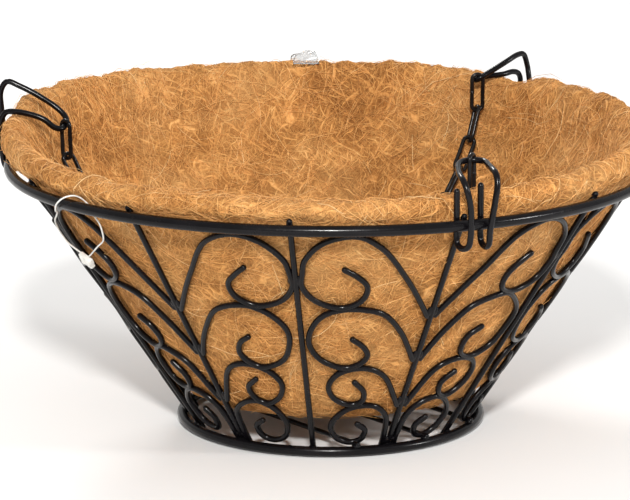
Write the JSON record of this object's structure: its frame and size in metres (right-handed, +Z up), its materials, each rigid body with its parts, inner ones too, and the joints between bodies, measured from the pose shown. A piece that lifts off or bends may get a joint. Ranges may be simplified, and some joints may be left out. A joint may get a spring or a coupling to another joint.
{
  "type": "hanging basket",
  "caption": "Round wire hanging basket with scrolled sides, a moulded coir liner, three rim clips on chains and a hanging hook.",
  "frame": {"origin": "centre of the basket's underside, on the plane that the base ring rests on", "axes": "+Z up through the basket's mouth; the three cross bars of the base run along Y"},
  "size_m": [0.3671, 0.3635, 0.1881],
  "materials": {
    "black_wire": "black gloss coated steel wire",
    "chain_steel": "black gloss coated chain, bright where it has rubbed",
    "coir": "matted coconut fibre, golden brown",
    "clear_nylon": "translucent nylon and film"
  },
  "bodies": {
    "cradle": {"rim_ring": "black_wire", "base_ring": "black_wire", "cross_bar_left": "black_wire", "cross_bar_middle": "black_wire", "cross_bar_right": "black_wire", "plain_rib_1": "black_wire", "plain_rib_2": "black_wire", "plain_rib_3": "black_wire", "plain_rib_4": "black_wire", "plain_rib_5": "black_wire", "plain_rib_6": "black_wire", "branch_rib_1": "black_wire", "branch_rib_2": "black_wire", "branch_rib_3": "black_wire", "branch_rib_4": "black_wire", "branch_rib_5": "black_wire", "branch_rib_6": "black_wire", "scroll_stack_1a": "black_wire", "scroll_stack_1b": "black_wire", "scroll_stack_2a": "black_wire", "scroll_stack_2b": "black_wire", "scroll_stack_3a": "black_wire", "scroll_stack_3b": "black_wire", "scroll_stack_4a": "black_wire", "scroll_stack_4b": "black_wire", "scroll_stack_5a": "black_wire", "scroll_stack_5b": "black_wire", "scroll_stack_6a": "black_wire", "scroll_stack_6b": "black_wire", "coir_liner": "coir", "chain_front": "chain_steel", "chain_back": "chain_steel", "chain_left": "chain_steel", "hanging_hook": "chain_steel", "tag_loop": "clear_nylon", "clear_loop": "clear_nylon"},
    "clip_front": {"clip_front": "chain_steel"},
    "clip_back": {"clip_back": "chain_steel"},
    "clip_left": {"clip_left": "chain_steel"}
  },
  "joints": [
    {"name": "clip_front_swing", "type": "hinge", "parent": "cradle", "child": "clip_front", "pos_m": [-0.04019, -0.1734, 0.146], "axis": [0.9742, -0.2258, 0], "range_deg": [0, 30]},
    {"name": "clip_back_swing", "type": "hinge", "parent": "cradle", "child": "clip_back", "pos_m": [0.1733, 0.04065, 0.146], "axis": [-0.2284, 0.9736, 0], "range_deg": [0, 30]},
    {"name": "clip_left_swing", "type": "hinge", "parent": "cradle", "child": "clip_left", "pos_m": [-0.13007, 0.12151, 0.146], "axis": [-0.6826, -0.7308, 0], "range_deg": [0, 30]}
  ]
}
